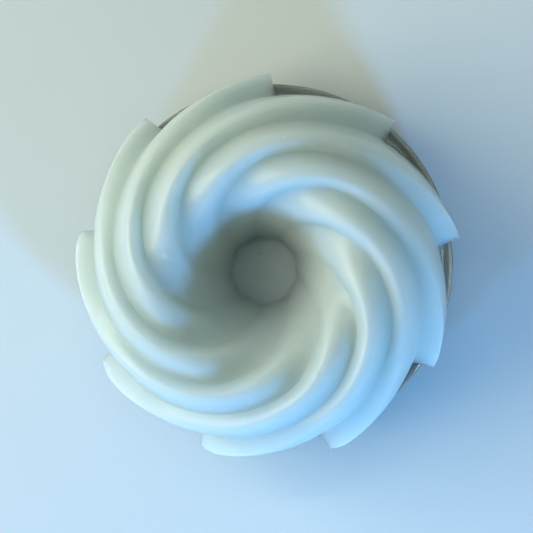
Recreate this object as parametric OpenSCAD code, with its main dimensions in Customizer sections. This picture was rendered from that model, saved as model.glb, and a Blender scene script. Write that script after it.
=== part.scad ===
// Shaving soap puck cast in a nine-lobed swirl ring, resting on the rim of a shallow clear glass dish.
// Millimetres, Z up. The origin is the middle of the dish's foot, on the surface it stands on.

/* [Soap puck] */
// Width across the fin tips at the base
puck_across = 88.4; // [73:0.2:107]
// Depth of the notch behind each fin tip, measured along a radius
fin_depth = 5; // [3:0.1:7]
// Height of the puck over its flat underside
puck_height = 34; // [26:0.5:42]
// Radius of the ring's highest circle
crest_radius = 23.5; // [19:0.5:28.5]
// Radius of the flat floor at the bottom of the well
well_radius = 8; // [6:0.2:12]
// Height of the well's floor over the underside
well_floor = 10; // [6:0.5:18]
// Number of swirled lobes
lobes = 9; // [7:1:11]
// Height of a lobe over its valley on top of the ring
lobe_rise = 2.6; // [2:0.1:4]
// Height of a lobe over its valley at the well's floor
well_ripple = 0.25; // [0.1:0.05:1]
// Share of the well's wall over which the lobes fade out
lobe_fade = 0.6; // [0.4:0.05:0.9]

/* [Section of the ring] */
// How far the side rises before it leans in, as a share of the height
side_fullness = 0.6; // [0.4:0.05:0.8]
// How far the shoulder reaches out over the side, as a share of the ring's outer width
shoulder_fullness = 0.6; // [0.4:0.05:0.8]
// How far the lip reaches in over the well, as a share of the ring's inner width
lip_fullness = 0.5; // [0.3:0.05:0.7]
// How far the well's wall leans out just above its floor
funnel_run = 2.2; // [0.5:0.1:4]
// Height over which it leans out by that much
funnel_depth = 7; // [3:0.5:12]

/* [Swirl] */
// Angle of the first fin tip, anticlockwise from +X
first_tip = 9.3; // [0:0.1:40]
// Turn of a ridge for each millimetre that it runs inward from the tips
turn_even = 0.783; // [0.3:0.001:1.2]
// Growth of that turn with the radius, for each millimetre
turn_outer = 0.095; // [0.06:0.001:0.16]
// Further turn of a ridge that gathers towards the well
turn_inner = 52; // [0:1:80]
// Share of a lobe taken by its steep side at the base
steep_base = 0.07; // [0.03:0.01:0.12]
// Share of a lobe taken by its steep side on top of the ring
steep_top = 0.3; // [0.2:0.01:0.45]
// How hooked the notch behind a fin tip is, from 1 for straight
hook = 2; // [1:0.1:3]
// How broad the valleys are on top of the ring, against the ridges
valley_width = 2; // [1.2:0.1:3]

/* [Glass dish] */
// How far the fin tips reach out past the dish's rim
rim_overhang = 3.2; // [0.4:0.2:5]
// Height of the dish from its foot to its rim
dish_height = 10.5; // [9:0.5:20]
// Thickness of the dish's wall
dish_wall = 3; // [2.4:0.1:4]
// Thickness of the dish's floor over the foot
dish_floor = 2.5; // [2:0.1:4]
// Radius of the rolled rim
rim_roll = 1.8; // [1.2:0.1:2.2]
// Set-back of the side from the rim
side_step = 0.6; // [0.4:0.1:1.2]
// Radius of the curve between the side and the foot
foot_curve = 5.5; // [4:0.5:9]
// Radius of the curve between the hollow's side and its floor
hollow_curve = 4.5; // [3:0.5:8]
// Height of the foot
foot_height = 1.2; // [0.8:0.1:2]

/* [Fit] */
// Gap between the puck's underside and the dish's rim
rest_gap = 0.08; // [0.02:0.02:0.3]
// How far the puck sits off the dish's middle along X
puck_shift_x = -1; // [-1.5:0.1:1.5]
// How far the puck sits off the dish's middle along Y
puck_shift_y = -0.8; // [-1.5:0.1:1.5]

/* [Hidden] */
steps = 14;
outer_rows = 12;
inner_rows = 11;
tip_radius = puck_across / 2;
valley_radius = tip_radius - fin_depth;
valley_height = puck_height - lobe_rise;
rim_radius = tip_radius - rim_overhang;
side_radius = rim_radius - side_step;
hollow_radius = side_radius - dish_wall;
side_height = dish_height - rim_roll - foot_height;
hollow_floor = foot_height + dish_floor;
// Each curve ends where the upright side still has a millimetre left
side_curve_radius = min(foot_curve, side_height - 1);
hollow_curve_radius = min(hollow_curve, dish_height - hollow_floor - 1);
foot_radius = side_radius - side_curve_radius;
puck_bottom = dish_height + rest_gap;

function mix(a, b, k) = a + (b - a) * k;
function clamped(k) = min(1, max(0, k));
function smooth(k) = clamped(k) * clamped(k) * (3 - 2 * clamped(k));
function bezier(p, t) =
    pow(1 - t, 3) * p[0] + 3 * t * pow(1 - t, 2) * p[1] + 3 * t * t * (1 - t) * p[2] + pow(t, 3) * p[3];

// Section of the ring through its valleys, as [radius, height]: q runs from 0 at the base edge
// to 1 at the crest, then to 2 at the well's floor.
side_curve = [
    [valley_radius, 0],
    [valley_radius, side_fullness * valley_height],
    [mix(crest_radius, valley_radius, shoulder_fullness), valley_height],
    [crest_radius, valley_height]
];
well_curve = [
    [crest_radius, valley_height],
    [mix(crest_radius, well_radius, lip_fullness), valley_height],
    [well_radius + funnel_run, well_floor + funnel_depth],
    [well_radius, well_floor]
];
function section(q) = q <= 1 ? bezier(side_curve, q) : bezier(well_curve, q - 1);

// A lobe's height over its valley, and the direction it rises in: outward at the base edge,
// up at the crest, inward in the well
function rise(q) = q <= 1
    ? mix(fin_depth, lobe_rise, smooth(q / 0.6))
    : mix(lobe_rise, well_ripple, smooth((q - 1) / lobe_fade));
function rise_angle(q) = 90 * q;

// Turn of the ridges at a radius, from none at the fin tips
function turn(r) = turn_even * (tip_radius - r)
    + turn_outer / 2 * (tip_radius * tip_radius - r * r)
    + turn_inner * pow(1 - r / tip_radius, 2);

// Share of a lobe's height at u, where u runs anticlockwise from one ridge (0) to the next (1):
// a long gentle fall and a short steep climb, both turning from a saw tooth at the base to a wave on top
function steepness(q) = mix(steep_base, steep_top, smooth(q / 0.7));
function roundness(q) = smooth(q / 0.7);
function fall(v, q) = mix(1 - pow(v, 0.8), pow(max(0, cos(90 * v)), valley_width), roundness(q));
function climb(w, q) = mix(pow(w, hook), pow(sin(90 * w), 1.2), roundness(q));
function wave(u, q) = u <= 1 - steepness(q)
    ? fall(u / (1 - steepness(q)), q)
    : climb((u - 1 + steepness(q)) / steepness(q), q);

// Places along a lobe, closest together at the ridge
function place(k) = k / steps - 0.45 * sin(360 * k / steps) / (2 * PI);

function skin_point(q, lobe, u) =
    let (
        flat = section(q),
        lift = rise(q) * wave(u, q),
        r = flat[0] + lift * cos(rise_angle(q)),
        z = flat[1] + lift * sin(rise_angle(q)),
        a = first_tip + 360 * (lobe + u) / lobes + turn(flat[0] + fin_depth * max(0, 1 - q))
    )
    [r * cos(a), r * sin(a), z];

rows = outer_rows + inner_rows + 1;
around = lobes * steps;
function row_q(i) = i <= outer_rows ? i / outer_rows : 1 + (i - outer_rows) / inner_rows;

skin = [
    for (i = [0:rows - 1], lobe = [0:lobes - 1], k = [0:steps - 1])
        skin_point(row_q(i), lobe, place(k))
];
middles = [[0, 0, 0], [0, 0, well_floor]];
function at(i, j) = i * around + j % around;

module soap_puck() {
    color("aliceblue")
    translate([puck_shift_x, puck_shift_y, puck_bottom])
    polyhedron(
        points = concat(skin, middles),
        faces = concat(
            [for (i = [0:rows - 2], j = [0:around - 1]) [at(i, j), at(i + 1, j), at(i, j + 1)]],
            [for (i = [0:rows - 2], j = [0:around - 1]) [at(i + 1, j), at(i + 1, j + 1), at(i, j + 1)]],
            [for (j = [0:around - 1]) [at(0, j), at(0, j + 1), rows * around]],
            [for (j = [0:around - 1]) [at(rows - 1, j + 1), at(rows - 1, j), rows * around + 1]]
        )
    );
}

// Half of a bowl's section: a straight side over a quarter-round corner over a flat bottom
module bowl_section(radius, corner, bottom, top) {
    translate([0, bottom + corner]) square([radius, top - bottom - corner]);
    translate([0, bottom]) square([radius - corner, corner]);
    intersection() {
        translate([radius - corner, bottom + corner]) circle(r = corner, $fn = 96);
        translate([0, bottom]) square([radius, corner]);
    }
}

module dish_section() {
    difference() {
        union() {
            bowl_section(side_radius, side_curve_radius, foot_height, dish_height - rim_roll);
            square([foot_radius, foot_height + 0.5]);
            translate([rim_radius - rim_roll, dish_height - rim_roll]) circle(r = rim_roll, $fn = 64);
            translate([0, dish_height - rim_roll]) square([rim_radius - rim_roll, rim_roll]);
        }
        bowl_section(hollow_radius, hollow_curve_radius, hollow_floor, dish_height + 1);
    }
}

module glass_dish() {
    color("lightgray", 0.5)
    rotate_extrude($fn = 144) dish_section();
}

glass_dish();
soap_puck();
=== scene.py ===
"""A swirl-fluted shaving soap puck resting on a shallow clear glass dish.

The soap is rebuilt as a fine skin by the same rule as the CAD solid, with softened creases, a poured
underside and small marks. It sits a little off the dish's middle. The dish is turned again with rounded
edges and a foot ring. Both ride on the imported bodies, and everything is in the CAD frame."""
import math

import bpy
import numpy as np
from mathutils import Matrix, Vector


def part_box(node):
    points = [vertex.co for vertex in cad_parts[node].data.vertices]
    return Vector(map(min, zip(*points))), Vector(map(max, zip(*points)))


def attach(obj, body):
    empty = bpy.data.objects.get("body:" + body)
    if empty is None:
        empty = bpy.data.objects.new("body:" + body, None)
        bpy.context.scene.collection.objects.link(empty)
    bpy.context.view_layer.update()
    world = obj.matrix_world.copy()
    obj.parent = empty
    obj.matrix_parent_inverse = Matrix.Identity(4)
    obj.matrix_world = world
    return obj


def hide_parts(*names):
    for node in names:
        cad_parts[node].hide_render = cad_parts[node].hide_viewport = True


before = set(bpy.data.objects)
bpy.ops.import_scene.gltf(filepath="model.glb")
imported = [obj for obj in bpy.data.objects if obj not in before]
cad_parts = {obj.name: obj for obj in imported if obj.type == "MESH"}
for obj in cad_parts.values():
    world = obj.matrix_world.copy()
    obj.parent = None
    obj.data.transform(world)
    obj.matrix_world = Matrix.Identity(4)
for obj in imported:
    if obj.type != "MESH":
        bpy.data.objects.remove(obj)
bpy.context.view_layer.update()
DISH_LOW, DISH_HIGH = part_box("glass_dish")
PUCK_LOW, PUCK_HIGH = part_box("soap_puck")

MM = 0.001
# Where every light points, in metres
LIT_POINT = Vector((0, 0, 0.04))

# The puck, in millimetres from its own middle and over its own underside
TIP_RADIUS = 44.2
FIN_DEPTH = 5.0
PUCK_HEIGHT = (PUCK_HIGH.z - PUCK_LOW.z) / MM
CREST_RADIUS = 23.5
WELL_RADIUS = 8.0
WELL_FLOOR = 10.0
LOBES = 9
LOBE_RISE = 2.6
WELL_RIPPLE = 0.25
LOBE_FADE = 0.6
# Where the puck's middle stands, from the dish's
PUCK_SHIFT = (-1.0, -0.8)

# Section of the ring
SIDE_FULLNESS = 0.6
SHOULDER_FULLNESS = 0.6
LIP_FULLNESS = 0.5
FUNNEL_RUN = 2.2
FUNNEL_DEPTH = 7.0

# Swirl: the turn of a ridge in degrees, and the share of a lobe taken by its steep side
FIRST_TIP = 9.3
TURN_EVEN = 0.783
TURN_OUTER = 0.095
TURN_INNER = 52.0
STEEP_BASE = 0.07
STEEP_TOP = 0.30
HOOK = 2.0
VALLEY_WIDTH = 2.0
# Where along the section the saw tooth has become a wave, and the curve of each
ROUND_FROM = 0.7
TOOTH_CURVE = 0.8
RIDGE_CURVE = 1.2
# How closely the points of a lobe crowd towards its ridge, and the rows and points round of the skin
RIDGE_CROWDING = 0.45
SWIRL_ROWS = 250
POINTS_PER_LOBE = 60
FLOOR_ROWS = 26
UNDERSIDE_ROWS = 16

# Small things that a casting has: softened creases, the poured edge, the ring left round the well's floor
CREASE_BASE = 0.003
CREASE_TOP = 0.012
EDGE_FLARE = 0.5
EDGE_HEIGHT = 0.4
UNDERSIDE_DISH = 0.35
FLOOR_GROOVE = 0.35
FLOOR_CROWN = 0.25
WOBBLE = 0.12
WOBBLE_FROM = 0.3

# The dish, in millimetres
DISH_HEIGHT = (DISH_HIGH.z - DISH_LOW.z) / MM
RIM_RADIUS = (DISH_HIGH.x - DISH_LOW.x) / 2 / MM
RIM_ROLL = 1.8
SIDE_STEP = 0.6
DISH_WALL = 3.0
DISH_FLOOR = 2.5
FOOT_CURVE = 5.5
HOLLOW_CURVE = 4.5
FOOT_HEIGHT = 1.2
FOOT_RECESS = 0.5
FOOT_RING = 4.0
FOOT_EDGE = 0.5
RECESS_EDGE = 1.0
HOLLOW_LIP = 0.9
MOULD_WAVE = 0.06
DISH_AROUND = 360


# ---------------------------------------------------------------- shared shaping

def smooth(k):
    k = np.clip(k, 0.0, 1.0)
    return k * k * (3.0 - 2.0 * k)


def mix(a, b, k):
    return a + (b - a) * k


def bump(distance, reach):
    """A round bump, 1 in its middle and 0 past its reach."""
    return smooth(1.0 - distance / reach)


def ring_mesh(name, rings, first_pole, last_pole):
    """A closed skin over a stack of rings, each as many points round, shut by a pole at either end."""
    count, around, _ = rings.shape
    points = np.concatenate([rings.reshape(-1, 3), [first_pole, last_pole]]) * MM
    i, j = np.meshgrid(np.arange(count - 1), np.arange(around), indexing="ij")
    here, there = i * around + j, i * around + (j + 1) % around
    quads = np.stack([here, there, there + around, here + around], -1).reshape(-1, 4)
    last = (count - 1) * around
    faces = quads.tolist()
    faces += [((k + 1) % around, k, count * around) for k in range(around)]
    faces += [(last + k, last + (k + 1) % around, count * around + 1) for k in range(around)]
    mesh = bpy.data.meshes.new(name)
    mesh.from_pydata(points.tolist(), [], faces)
    mesh.shade_smooth()
    piece = bpy.data.objects.new(name, mesh)
    bpy.context.scene.collection.objects.link(piece)
    return piece


# ---------------------------------------------------------------- the soap

def bezier(p, t):
    a, b, c, d = (1 - t) ** 3, 3 * t * (1 - t) ** 2, 3 * t * t * (1 - t), t**3
    return [p[0][i] * a + p[1][i] * b + p[2][i] * c + p[3][i] * d for i in (0, 1)]


def ring_section(q):
    """Radius and height of the ring's valleys: q is 0 at the base edge, 1 at the crest, 2 at the floor."""
    valley = TIP_RADIUS - FIN_DEPTH
    top = PUCK_HEIGHT - LOBE_RISE
    shoulder = mix(CREST_RADIUS, valley, SHOULDER_FULLNESS)
    lip = mix(CREST_RADIUS, WELL_RADIUS, LIP_FULLNESS)
    side = [(valley, 0), (valley, SIDE_FULLNESS * top), (shoulder, top), (CREST_RADIUS, top)]
    funnel_foot = (WELL_RADIUS + FUNNEL_RUN, WELL_FLOOR + FUNNEL_DEPTH)
    well = [(CREST_RADIUS, top), (lip, top), funnel_foot, (WELL_RADIUS, WELL_FLOOR)]
    outer = bezier(side, np.clip(q, 0, 1))
    inner = bezier(well, np.clip(q - 1, 0, 1))
    return np.where(q <= 1, outer[0], inner[0]), np.where(q <= 1, outer[1], inner[1])


def lobe_height(q):
    outer = mix(FIN_DEPTH, LOBE_RISE, smooth(q / 0.6))
    inner = mix(LOBE_RISE, WELL_RIPPLE, smooth((q - 1) / LOBE_FADE))
    return np.where(q <= 1, outer, inner)


def ridge_turn(r):
    even = TURN_EVEN * (TIP_RADIUS - r)
    outer = TURN_OUTER / 2 * (TIP_RADIUS**2 - r**2)
    inner = TURN_INNER * (1 - r / TIP_RADIUS) ** 2
    return even + outer + inner


def sharp_wave(u, q):
    """Share of a lobe's height: a long gentle fall from the ridge, then a short steep climb to the next."""
    u = u % 1.0
    k = smooth(q / ROUND_FROM)
    steep = mix(STEEP_BASE, STEEP_TOP, k)
    v = np.clip(u / (1 - steep), 0, 1)
    w = np.clip((u - 1 + steep) / steep, 0, 1)
    fall = mix(1 - v**TOOTH_CURVE, np.cos(np.pi / 2 * v).clip(0) ** VALLEY_WIDTH, k)
    climb = mix(w**HOOK, np.sin(np.pi / 2 * w) ** RIDGE_CURVE, k)
    return np.where(u <= 1 - steep, fall, climb)


def lobe_wave(u, q):
    """The wave with its creases and ridges softened, as soap leaves a mould."""
    crease = mix(CREASE_BASE, CREASE_TOP, smooth(q / 0.5))
    return sum(sharp_wave(u + crease * k / 2, q) for k in (-2, -1, 0, 1, 2)) / 5


def wobble(x, y, z):
    """The slow unevenness of a hand-poured surface, from -1 to 1."""
    wide = np.sin(0.21 * x + 1.3) * np.sin(0.17 * y - 0.4) * np.cos(0.12 * z)
    near = np.sin(0.47 * x - 0.39 * y + 2.1) * np.sin(0.31 * y + 0.36 * z)
    return 0.65 * wide + 0.35 * near


def swirl_rings(rows, around):
    """Rings of the fluted surface, from the base edge over the crest to the edge of the well's floor."""
    steps = around // LOBES
    k = np.arange(steps) / steps
    close = k - RIDGE_CROWDING * np.sin(2 * np.pi * k) / (2 * np.pi)
    turns = (np.arange(LOBES)[:, None] + close[None, :]).ravel()
    q, lobe = np.meshgrid(2 * np.linspace(0, 1, rows), turns, indexing="ij")
    r0, z0 = ring_section(q)
    lift = lobe_height(q) * lobe_wave(lobe, q)
    lean = np.pi / 2 * q
    r = r0 + lift * np.cos(lean)
    z = z0 + lift * np.sin(lean)
    r += EDGE_FLARE * (np.exp(-z / EDGE_HEIGHT) - 1) * np.clip(2 - 2 * q, 0, 1)
    angle = np.radians(FIRST_TIP + 360 * lobe / LOBES + ridge_turn(r0 + FIN_DEPTH * np.clip(1 - q, 0, 1)))
    x, y = r * np.cos(angle), r * np.sin(angle)
    start = smooth(q / WOBBLE_FROM)
    uneven = WOBBLE * wobble(x, y, z) * start
    r += uneven * np.cos(lean) - WOBBLE * start * np.abs(np.cos(lean))
    z += (uneven - WOBBLE) * np.sin(lean) * start
    return np.stack([r * np.cos(angle), r * np.sin(angle), z], -1)


def floor_rings(edge, rows):
    """Rings of the well's floor: a narrow groove where it meets the wall, then a faint crown."""
    share = np.linspace(1, 0.04, rows)[1:, None]
    x, y = edge[None, :, 0] * share, edge[None, :, 1] * share
    depth = FLOOR_GROOVE * bump(np.abs(share - 0.95), 0.05) + x * 0
    crown = FLOOR_CROWN * (1 - share**2) + x * 0
    return np.stack([x, y, edge[None, :, 2] * 1.0 - depth + crown], -1)


def underside_rings(edge, rows):
    """Rings of the poured face, from near its middle out to the base edge."""
    share = np.linspace(0.06, 1, rows)[:-1, None] ** 0.6
    x, y = edge[None, :, 0] * share, edge[None, :, 1] * share
    z = UNDERSIDE_DISH * smooth((1 - share) / 0.12) * (1 + 0.3 * wobble(2 * x, 2 * y, 0 * x))
    return np.stack([x, y, z], -1)


# Marks left on the casting: place over the puck's middle, reach and height in millimetres
MARKS = [
    ((-18.9, 4.5), 1.3, 0.38),
    ((-18.2, 2.9), 0.8, -0.22),
    ((-0.9, 3.9), 0.55, -0.5),
    ((-2.2, -2.3), 0.6, -0.4),
    ((7.7, 34.0), 0.6, -0.35),
    ((-27.4, 23.3), 1.6, 0.28),
    ((-28.9, 20.9), 1.1, -0.25),
    ((-25.6, 24.9), 1.0, 0.24),
    ((13.1, -19.6), 0.9, -0.25),
    ((26.4, 9.2), 0.8, 0.22),
]


def press_marks(points):
    """Raises or sinks each mark in the part of the skin that faces up."""
    up = points[..., 2] > WELL_FLOOR / 2
    for (x, y), reach, height in MARKS:
        distance = np.hypot(points[..., 0] - x, points[..., 1] - y)
        points[..., 2] += height * bump(distance, reach) * up
    return points


def soap_puck():
    side = press_marks(swirl_rings(SWIRL_ROWS, LOBES * POINTS_PER_LOBE))
    floor = press_marks(floor_rings(side[-1], FLOOR_ROWS))
    under = underside_rings(side[0], UNDERSIDE_ROWS)
    rings = np.concatenate([under, side, floor])
    rings += (*PUCK_SHIFT, PUCK_LOW.z / MM)
    first = (*PUCK_SHIFT, float(under[0, :, 2].mean()) + PUCK_LOW.z / MM)
    last = (*PUCK_SHIFT, float(rings[-1, :, 2].mean()))
    soap = ring_mesh("soap_swirl", rings, first, last)
    soap.data.materials.append(soap_material())
    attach(soap, "puck")
    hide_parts("soap_puck")
    return soap


# ---------------------------------------------------------------- the glass dish

def line(start, end, steps):
    k = np.linspace(0, 1, steps)[:, None]
    return mix(np.array([start], float), np.array([end], float), k)


def arc(centre, radius, start, end, steps):
    a = np.radians(np.linspace(start, end, steps))
    return np.stack([centre[0] + radius * np.cos(a), centre[1] + radius * np.sin(a)], -1)


def dish_profile():
    """The dish's section as radius and height, from its foot's middle, out and over the rim, and inside."""
    side = RIM_RADIUS - SIDE_STEP
    hollow = side - DISH_WALL
    foot = side - FOOT_CURVE
    inner_floor = FOOT_HEIGHT + DISH_FLOOR
    roll = (RIM_RADIUS - RIM_ROLL, DISH_HEIGHT - RIM_ROLL)
    meets = math.degrees(math.acos((side - roll[0]) / RIM_ROLL))
    roll_foot = DISH_HEIGHT - RIM_ROLL - RIM_ROLL * math.sin(math.radians(meets))
    ring = foot - FOOT_RING
    parts = [
        line((1.0, FOOT_RECESS), (ring - 1.5, FOOT_RECESS), 8),
        arc((ring - 1.5, FOOT_RECESS - RECESS_EDGE), RECESS_EDGE, 88, 50, 5),
        line((ring, 0.0), (foot - FOOT_EDGE, 0.0), 4),
        arc((foot - FOOT_EDGE, FOOT_EDGE), FOOT_EDGE, -90, 0, 7)[1:],
        line((foot, FOOT_HEIGHT - 0.3), (foot, FOOT_HEIGHT), 2),
        arc((foot, FOOT_HEIGHT + FOOT_CURVE), FOOT_CURVE, -90, 0, 30)[1:],
        line((side, FOOT_HEIGHT + FOOT_CURVE), (side, roll_foot), 6)[1:],
        arc(roll, RIM_ROLL, -meets, 90, 26)[1:],
        arc((hollow + HOLLOW_LIP, DISH_HEIGHT - HOLLOW_LIP), HOLLOW_LIP, 90, 180, 10),
        line((hollow, DISH_HEIGHT - HOLLOW_LIP), (hollow, inner_floor + HOLLOW_CURVE), 4)[1:],
        arc((hollow - HOLLOW_CURVE, inner_floor + HOLLOW_CURVE), HOLLOW_CURVE, 0, -90, 24)[1:],
        line((hollow - HOLLOW_CURVE, inner_floor), (1.0, inner_floor), 10)[1:],
    ]
    return np.concatenate(parts)


def glass_dish():
    profile = dish_profile()
    angle = np.linspace(0, 2 * np.pi, DISH_AROUND, endpoint=False)[None, :]
    r, z = profile[:, 0:1], profile[:, 1:2]
    wave = MOULD_WAVE * np.sin(3 * angle + 0.4 * z) * np.sin(0.7 * z)
    r = r + (wave - MOULD_WAVE) * smooth((r - 5) / 10)
    rings = np.stack([r * np.cos(angle), r * np.sin(angle), z + 0 * angle], -1)
    dish = ring_mesh("pressed_glass_dish", rings, (0, 0, FOOT_RECESS), (0, 0, float(profile[-1, 1])))
    dish.data.materials.append(glass_material())
    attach(dish, "dish")
    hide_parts("glass_dish")
    return dish


# ---------------------------------------------------------------- shared material effects

def add(tree, kind, label, **values):
    node = tree.nodes.new("ShaderNode" + kind)
    node.label = label
    for name, value in values.items():
        setattr(node, name, value)
    return node


def group(name, inputs, outputs):
    """An empty node group with named sockets; each input is (name, kind, default)."""
    tree = bpy.data.node_groups.new(name, "ShaderNodeTree")
    for label, kind, default in inputs:
        socket = tree.interface.new_socket(label, in_out="INPUT", socket_type="NodeSocket" + kind)
        if default is not None:
            socket.default_value = default
    for label, kind in outputs:
        tree.interface.new_socket(label, in_out="OUTPUT", socket_type="NodeSocket" + kind)
    return tree, tree.nodes.new("NodeGroupInput"), tree.nodes.new("NodeGroupOutput")


def inverse(tree, socket, label):
    """Turns a size in metres into a texture's scale."""
    node = add(tree, "Math", label, operation="DIVIDE")
    node.inputs[0].default_value = 1.0
    tree.links.new(socket, node.inputs[1])
    return node.outputs[0]


def cloud_group():
    """Soft clouds between two tints, of a given size, with a given contrast."""
    inputs = [("Vector", "Vector", None), ("Size", "Float", 0.01), ("Contrast", "Float", 0.5),
              ("First Tint", "Color", (1, 1, 1, 1)), ("Second Tint", "Color", (0.8, 0.8, 0.8, 1))]
    tree, given, result = group("soft_clouds", inputs, [("Color", "Color"), ("Mask", "Float")])
    noise = add(tree, "TexNoise", "clouds")
    noise.inputs["Detail"].default_value = 3.0
    noise.inputs["Roughness"].default_value = 0.55
    low = add(tree, "Math", "low end", operation="SUBTRACT")
    low.inputs[0].default_value = 0.5
    high = add(tree, "Math", "high end", operation="ADD")
    high.inputs[0].default_value = 0.5
    half = add(tree, "Math", "half span", operation="MULTIPLY_ADD")
    half.inputs[1].default_value = -0.4
    half.inputs[2].default_value = 0.45
    spread = add(tree, "MapRange", "spread", clamp=True)
    tint = add(tree, "Mix", "tint", data_type="RGBA")
    tree.links.new(given.outputs["Vector"], noise.inputs["Vector"])
    tree.links.new(inverse(tree, given.outputs["Size"], "cloud scale"), noise.inputs["Scale"])
    tree.links.new(given.outputs["Contrast"], half.inputs[0])
    tree.links.new(half.outputs[0], low.inputs[1])
    tree.links.new(half.outputs[0], high.inputs[1])
    tree.links.new(noise.outputs[0], spread.inputs["Value"])
    tree.links.new(low.outputs[0], spread.inputs["From Min"])
    tree.links.new(high.outputs[0], spread.inputs["From Max"])
    tree.links.new(spread.outputs[0], tint.inputs["Factor"])
    tree.links.new(given.outputs["First Tint"], tint.inputs["A"])
    tree.links.new(given.outputs["Second Tint"], tint.inputs["B"])
    tree.links.new(tint.outputs["Result"], result.inputs["Color"])
    tree.links.new(spread.outputs[0], result.inputs["Mask"])
    return tree


def speck_group():
    """Round specks: their spacing, their radius as a share of it, and the share of places filled."""
    inputs = [("Vector", "Vector", None), ("Spacing", "Float", 0.004), ("Radius", "Float", 0.2),
              ("Filled", "Float", 0.3)]
    tree, given, result = group("scattered_specks", inputs, [("Mask", "Float")])
    cells = add(tree, "TexVoronoi", "places")
    pick = add(tree, "SeparateColor", "pick")
    filled = add(tree, "Math", "filled", operation="LESS_THAN")
    dot = add(tree, "MapRange", "round speck", clamp=True, interpolation_type="SMOOTHSTEP")
    dot.inputs["To Min"].default_value = 1.0
    dot.inputs["To Max"].default_value = 0.0
    inner = add(tree, "Math", "full to", operation="MULTIPLY")
    inner.inputs[1].default_value = 0.35
    both = add(tree, "Math", "speck", operation="MULTIPLY")
    tree.links.new(given.outputs["Vector"], cells.inputs["Vector"])
    tree.links.new(inverse(tree, given.outputs["Spacing"], "place scale"), cells.inputs["Scale"])
    tree.links.new(cells.outputs["Color"], pick.inputs[0])
    tree.links.new(pick.outputs[0], filled.inputs[0])
    tree.links.new(given.outputs["Filled"], filled.inputs[1])
    tree.links.new(cells.outputs["Distance"], dot.inputs["Value"])
    tree.links.new(given.outputs["Radius"], inner.inputs[0])
    tree.links.new(inner.outputs[0], dot.inputs["From Min"])
    tree.links.new(given.outputs["Radius"], dot.inputs["From Max"])
    tree.links.new(dot.outputs[0], both.inputs[0])
    tree.links.new(filled.outputs[0], both.inputs[1])
    tree.links.new(both.outputs[0], result.inputs["Mask"])
    return tree


def grain_group():
    """Height of a fine uneven grain: a coarse and a fine size, and the fine one's share."""
    inputs = [("Vector", "Vector", None), ("Coarse Size", "Float", 0.004), ("Fine Size", "Float", 0.0006),
              ("Fine Share", "Float", 0.3)]
    tree, given, result = group("uneven_grain", inputs, [("Height", "Float")])
    coarse = add(tree, "TexNoise", "coarse grain")
    fine = add(tree, "TexNoise", "fine grain")
    fine.inputs["Detail"].default_value = 4.0
    blend = add(tree, "Mix", "both grains", data_type="FLOAT")
    for noise, size in ((coarse, "Coarse Size"), (fine, "Fine Size")):
        tree.links.new(given.outputs["Vector"], noise.inputs["Vector"])
        tree.links.new(inverse(tree, given.outputs[size], size), noise.inputs["Scale"])
    tree.links.new(given.outputs["Fine Share"], blend.inputs["Factor"])
    tree.links.new(coarse.outputs[0], blend.inputs["A"])
    tree.links.new(fine.outputs[0], blend.inputs["B"])
    tree.links.new(blend.outputs["Result"], result.inputs["Height"])
    return tree


CLOUDS = cloud_group()
SPECKS = speck_group()
GRAIN = grain_group()


class Finish:
    """A material under way: its shader, its object coordinates and its shared effects."""

    def __init__(self, name):
        self.material = bpy.data.materials.new(name)
        self.material.use_nodes = True
        self.tree = self.material.node_tree
        self.shader = self.tree.nodes["Principled BSDF"]
        self.place = add(self.tree, "TexCoord", "place on the piece").outputs["Object"]

    def set(self, **values):
        for name, value in values.items():
            self.shader.inputs[name.replace("_", " ")].default_value = value

    def effect(self, tree, label, **values):
        node = add(self.tree, "Group", label, node_tree=tree)
        self.tree.links.new(self.place, node.inputs["Vector"])
        for name, value in values.items():
            node.inputs[name.replace("_", " ")].default_value = value
        return node

    def over(self, base, color, mask, strength, label):
        """Lays a tint over a colour where a mask is."""
        share = add(self.tree, "Math", label + " share", operation="MULTIPLY")
        share.inputs[1].default_value = strength
        node = add(self.tree, "Mix", label, data_type="RGBA")
        node.inputs["B"].default_value = color
        self.tree.links.new(mask, share.inputs[0])
        self.tree.links.new(share.outputs[0], node.inputs["Factor"])
        self.tree.links.new(base, node.inputs["A"])
        return node.outputs["Result"]

    def between(self, mask, low, high, socket, label):
        """Drives a shader value from low to high along a mask."""
        node = add(self.tree, "MapRange", label)
        node.inputs["To Min"].default_value = low
        node.inputs["To Max"].default_value = high
        self.tree.links.new(mask, node.inputs["Value"])
        self.tree.links.new(node.outputs[0], self.shader.inputs[socket])

    def relief(self, layers):
        """Bump layers on top of each other: (height, depth in metres, strength)."""
        normal = None
        for height, depth, strength in layers:
            node = add(self.tree, "Bump", "relief")
            node.inputs["Distance"].default_value = depth
            node.inputs["Strength"].default_value = strength
            self.tree.links.new(height, node.inputs["Height"])
            if normal:
                self.tree.links.new(normal, node.inputs["Normal"])
            normal = node.outputs["Normal"]
        self.tree.links.new(normal, self.shader.inputs["Normal"])


# ---------------------------------------------------------------- materials

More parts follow.
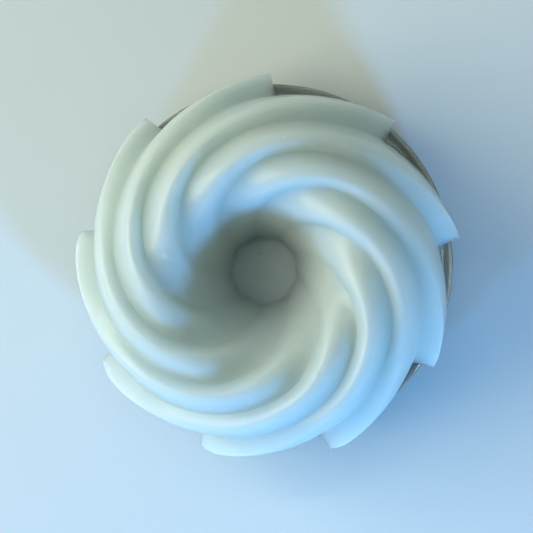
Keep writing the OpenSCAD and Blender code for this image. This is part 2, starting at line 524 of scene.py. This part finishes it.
def soap_material():
    """Milky cast soap: light sinks in, with clouds, bubbles, dark specks, wrinkles and a soft gloss."""
    soap = Finish("milky_soap")
    soap.set(IOR=1.45, Subsurface_Weight=0.8, Subsurface_Radius=(0.9, 1.0, 0.95), Subsurface_Scale=0.02,
             Coat_Roughness=0.07, Coat_IOR=1.4)
    clouds = soap.effect(CLOUDS, "cloudy body", Size=0.011, Contrast=0.35,
                         First_Tint=(0.525, 0.575, 0.52, 1), Second_Tint=(0.465, 0.535, 0.51, 1))
    veins = soap.effect(CLOUDS, "clear veins", Size=0.0035, Contrast=0.8)
    bubbles = soap.effect(SPECKS, "trapped bubbles", Spacing=0.0022, Radius=0.16, Filled=0.12)
    dark = soap.effect(SPECKS, "dark specks", Spacing=0.010, Radius=0.028, Filled=0.30)
    grain = soap.effect(GRAIN, "cast surface", Coarse_Size=0.0032, Fine_Size=0.0007, Fine_Share=0.3)
    damp = soap.effect(CLOUDS, "damp patches", Size=0.014, Contrast=0.5)
    color = clouds.outputs["Color"]
    color = soap.over(color, (0.46, 0.55, 0.54, 1), veins.outputs["Mask"], 0.25, "vein tint")
    color = soap.over(color, (0.74, 0.78, 0.76, 1), bubbles.outputs["Mask"], 0.3, "bubble tint")
    color = soap.over(color, (0.16, 0.14, 0.11, 1), dark.outputs["Mask"], 0.7, "speck tint")
    soap.tree.links.new(color, soap.shader.inputs["Base Color"])
    soap.between(damp.outputs["Mask"], 0.36, 0.52, "Roughness", "gloss")
    soap.between(damp.outputs["Mask"], 0.45, 0.20, "Coat Weight", "wet film")
    wrinkles = soap.effect(GRAIN, "wrinkled skin", Coarse_Size=0.0011, Fine_Size=0.00045, Fine_Share=0.4)
    patches = soap.effect(CLOUDS, "wrinkled patches", Size=0.008, Contrast=0.95)
    folds = add(soap.tree, "Math", "wrinkles in patches", operation="MULTIPLY")
    soap.tree.links.new(wrinkles.outputs["Height"], folds.inputs[0])
    soap.tree.links.new(patches.outputs["Mask"], folds.inputs[1])
    soap.relief([(grain.outputs["Height"], 0.00016, 0.4), (folds.outputs[0], 0.00014, 0.5),
                 (bubbles.outputs["Mask"], 0.0001, 0.3)])
    return soap.material


def glass_material():
    """Pressed glass with a faint olive body, waves from the mould and seed bubbles, greyed by soap film."""
    glass = Finish("clear_pressed_glass")
    glass.set(IOR=1.5, Transmission_Weight=0.78)
    body = glass.effect(CLOUDS, "glass body", Size=0.02, Contrast=0.2,
                        First_Tint=(0.74, 0.75, 0.66, 1), Second_Tint=(0.60, 0.61, 0.52, 1))
    seeds = glass.effect(SPECKS, "seed bubbles", Spacing=0.0026, Radius=0.16, Filled=0.35)
    film = glass.effect(CLOUDS, "soapy film", Size=0.009, Contrast=0.7)
    waves = glass.effect(GRAIN, "mould waves", Coarse_Size=0.009, Fine_Size=0.0012, Fine_Share=0.08)
    glass.tree.links.new(body.outputs["Color"], glass.shader.inputs["Base Color"])
    glass.between(film.outputs["Mask"], 0.05, 0.25, "Roughness", "film haze")
    glass.relief([(waves.outputs["Height"], 0.0004, 0.3), (seeds.outputs["Mask"], 0.0003, 0.9)])
    return glass.material


def table_material():
    """The plain pale table."""
    table = Finish("pale_table")
    table.set(Roughness=0.75)
    paint = table.effect(CLOUDS, "table tone", Size=0.05, Contrast=0.1,
                         First_Tint=(0.665, 0.70, 0.675, 1), Second_Tint=(0.645, 0.685, 0.67, 1))
    grain = table.effect(GRAIN, "paper grain", Coarse_Size=0.002, Fine_Size=0.0005, Fine_Share=0.5)
    table.tree.links.new(paint.outputs["Color"], table.shader.inputs["Base Color"])
    table.relief([(grain.outputs["Height"], 0.0002, 0.25)])
    return table.material


# ---------------------------------------------------------------- stage, light and camera

def table(half_width=2.0):
    mesh = bpy.data.meshes.new("table")
    corners = [(-half_width, -half_width, 0), (half_width, -half_width, 0)]
    corners += [(half_width, half_width, 0), (-half_width, half_width, 0)]
    mesh.from_pydata(corners, [], [(0, 1, 2, 3)])
    mesh.materials.append(table_material())
    floor = bpy.data.objects.new("table", mesh)
    bpy.context.scene.collection.objects.link(floor)


def soft_light(name, azimuth, elevation, distance, width, height, power, color, shows=True):
    """A flat light that faces the puck from a direction in degrees, at a distance in metres.

    One that does not show leaves no glint of its own in wet soap or glass."""
    a, e = math.radians(azimuth), math.radians(elevation)
    toward = Vector((math.cos(a) * math.cos(e), math.sin(a) * math.cos(e), math.sin(e)))
    data = bpy.data.lights.new(name, "AREA")
    data.shape = "RECTANGLE"
    data.size = width
    data.size_y = height
    data.energy = power
    data.color = color
    light = bpy.data.objects.new(name, data)
    light.visible_glossy = shows
    light.location = LIT_POINT + distance * toward
    light.rotation_euler = (-toward).to_track_quat("-Z", "Y").to_euler()
    bpy.context.scene.collection.objects.link(light)


def room_light(horizon, zenith):
    """Light from all round: bright up to a height of 0.4, then dimmer up to the dark overhead."""
    world = bpy.data.worlds.new("room")
    world.use_nodes = True
    tree = world.node_tree
    place = add(tree, "TexCoord", "direction")
    height = add(tree, "SeparateXYZ", "height")
    ramp = add(tree, "ValToRGB", "room brightness")
    tree.links.new(place.outputs["Generated"], height.inputs[0])
    tree.links.new(height.outputs["Z"], ramp.inputs[0])
    tree.links.new(ramp.outputs[0], tree.nodes["Background"].inputs[0])
    stops = ramp.color_ramp.elements
    stops[0].color = (*horizon, 1)
    stops[1].color = (*zenith, 1)
    stops[1].position = 0.65
    stops.new(0.4).color = (*horizon, 1)
    bpy.context.scene.world = world


# The camera aims at a height over the puck's underside, from an offset, both in millimetres
AIM_HEIGHT = 15.0
CAMERA_OFFSET = (23.36, 21.22, 335.0)


def camera():
    """Nearly straight down, from a little to the upper right, with +Y up in the picture."""
    aim = Vector((*PUCK_SHIFT, PUCK_LOW.z / MM + AIM_HEIGHT)) * MM
    place = aim + Vector(CAMERA_OFFSET) * MM
    back = (place - aim).normalized()
    right = Vector((0, 1, 0)).cross(back).normalized()
    up = back.cross(right)
    data = bpy.data.cameras.new("camera")
    data.sensor_width = 36.0
    data.lens = 104.28
    data.shift_x = 0.00604
    data.shift_y = 0.01066
    data.clip_start = 0.01
    view = bpy.data.objects.new("camera", data)
    view.matrix_world = Matrix((right, up, back)).transposed().to_4x4()
    view.location = place
    bpy.context.scene.collection.objects.link(view)
    bpy.context.scene.camera = view


camera()
table()
soap_puck()
glass_dish()
COOL_LAMP = {"elevation": 14.5, "distance": 0.5, "width": 0.07, "height": 0.07, "shows": False}
soft_light("window", azimuth=173, elevation=34, distance=0.9, width=1.0, height=0.6, power=8.2,
           color=(0.98, 1.0, 0.84))
soft_light("cool_lamp_right", azimuth=-57, power=2.8, color=(0.10, 0.42, 1.0), **COOL_LAMP)
soft_light("cool_lamp_left", azimuth=-128, power=1.35, color=(0.08, 0.40, 1.0), **COOL_LAMP)
soft_light("ceiling_strip", azimuth=100, elevation=62, distance=1.2, width=0.8, height=0.01, power=1.3,
           color=(1.0, 1.0, 1.0))
room_light(horizon=(0.60, 0.71, 0.63), zenith=(0.065, 0.09, 0.12))
bpy.context.scene.view_settings.view_transform = "Standard"
